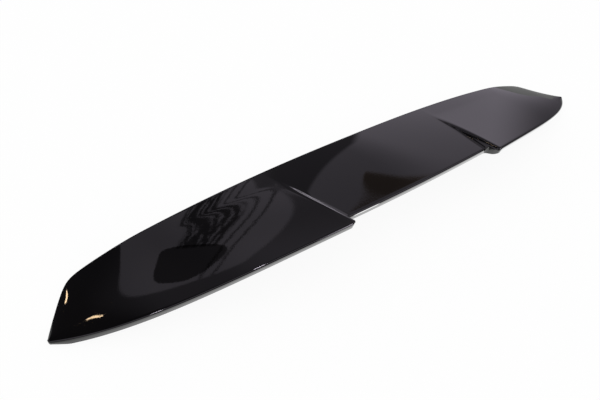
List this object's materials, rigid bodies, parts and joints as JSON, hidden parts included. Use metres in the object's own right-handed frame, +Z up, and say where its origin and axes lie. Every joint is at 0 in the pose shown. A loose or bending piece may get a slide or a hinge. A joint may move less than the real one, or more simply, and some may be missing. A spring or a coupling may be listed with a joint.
{
  "type": "tailgate spoiler",
  "caption": "Thin arched shell that caps the edge of a vehicle's tailgate, with raised wings either side of a lowered middle and a rolled rear edge.",
  "frame": {"origin": "middle of the width and of the depth, on the floor the spoiler rests on", "axes": "+X across the width, tip to tip; +Y from the rear edge to the front edge; +Z up"},
  "size_m": [1.15, 0.1916, 0.0868],
  "materials": {
    "gloss_black": "smooth gloss, black through"
  },
  "bodies": {
    "root": {"spoiler_shell": "gloss_black"}
  },
  "joints": []
}
